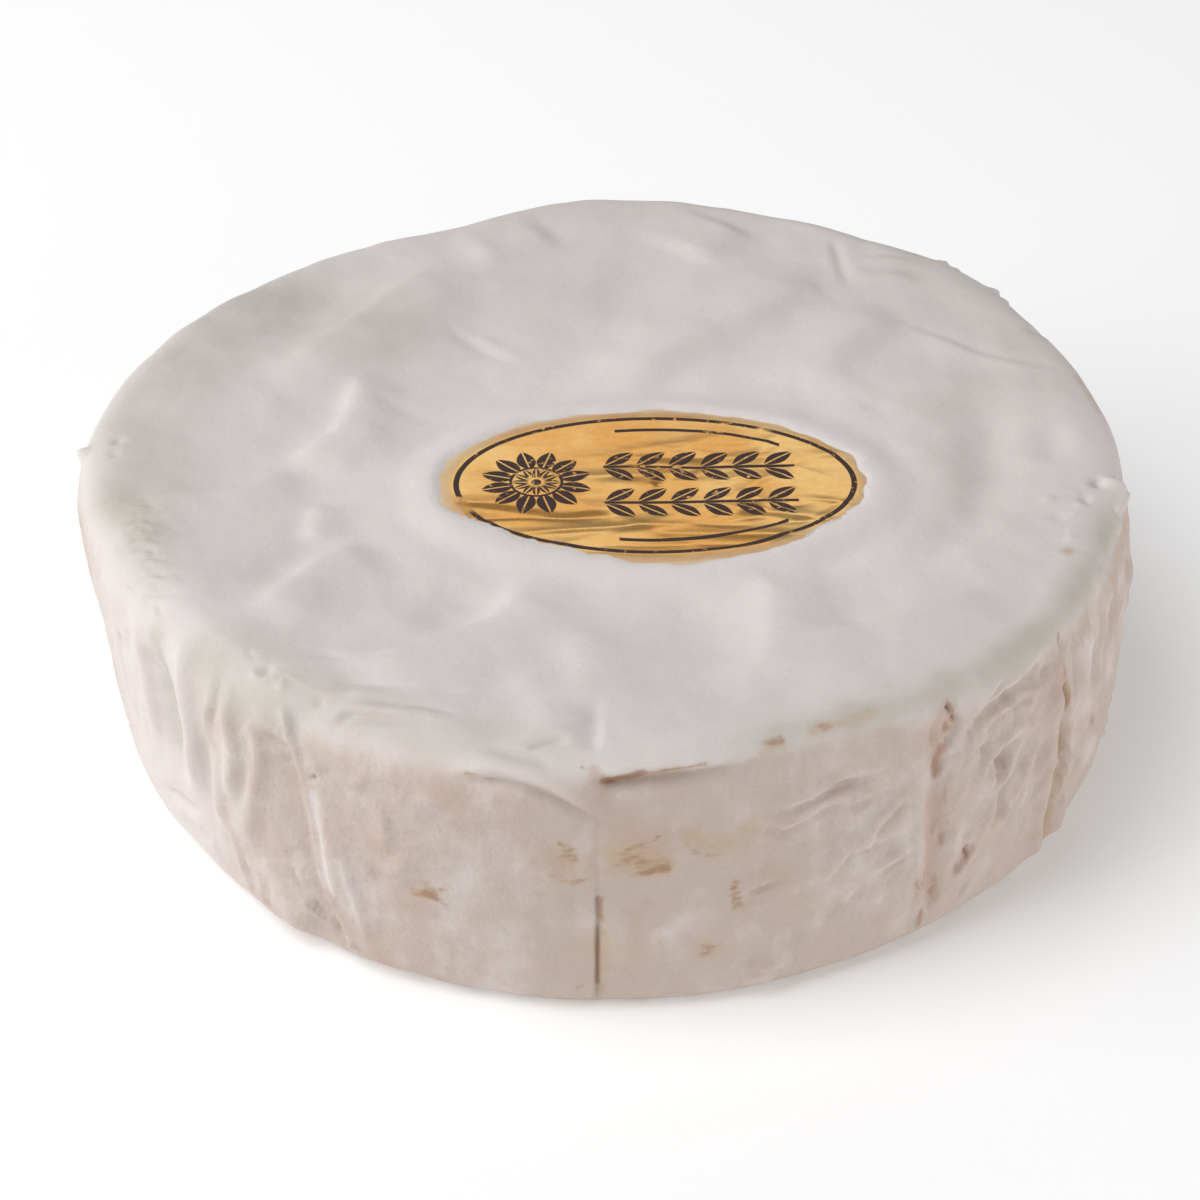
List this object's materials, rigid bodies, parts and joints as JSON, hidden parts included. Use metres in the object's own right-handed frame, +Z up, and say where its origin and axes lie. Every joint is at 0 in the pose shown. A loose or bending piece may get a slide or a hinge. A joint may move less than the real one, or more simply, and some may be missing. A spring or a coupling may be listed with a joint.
{
  "type": "cheese wheel",
  "caption": "Low round wheel of soft-ripened cheese with a bloomy white rind, a sunken top, a soft pleated wall and an oval foil label on top.",
  "frame": {"origin": "on the plane that the wheel lies on, under the middle of its footprint box", "axes": "+Z up through the wheel; the label reads the right way up for someone who looks along +Y, with +X to their right"},
  "size_m": [0.1676, 0.167, 0.0474],
  "materials": {
    "rind": "dry velvety white mould over pale beige paste, with ochre and brown marks",
    "gold_foil": "crinkled gold foil with a dark brown printed line"
  },
  "bodies": {
    "root": {"cheese_wheel": "rind", "foil_label": "gold_foil"}
  },
  "joints": []
}
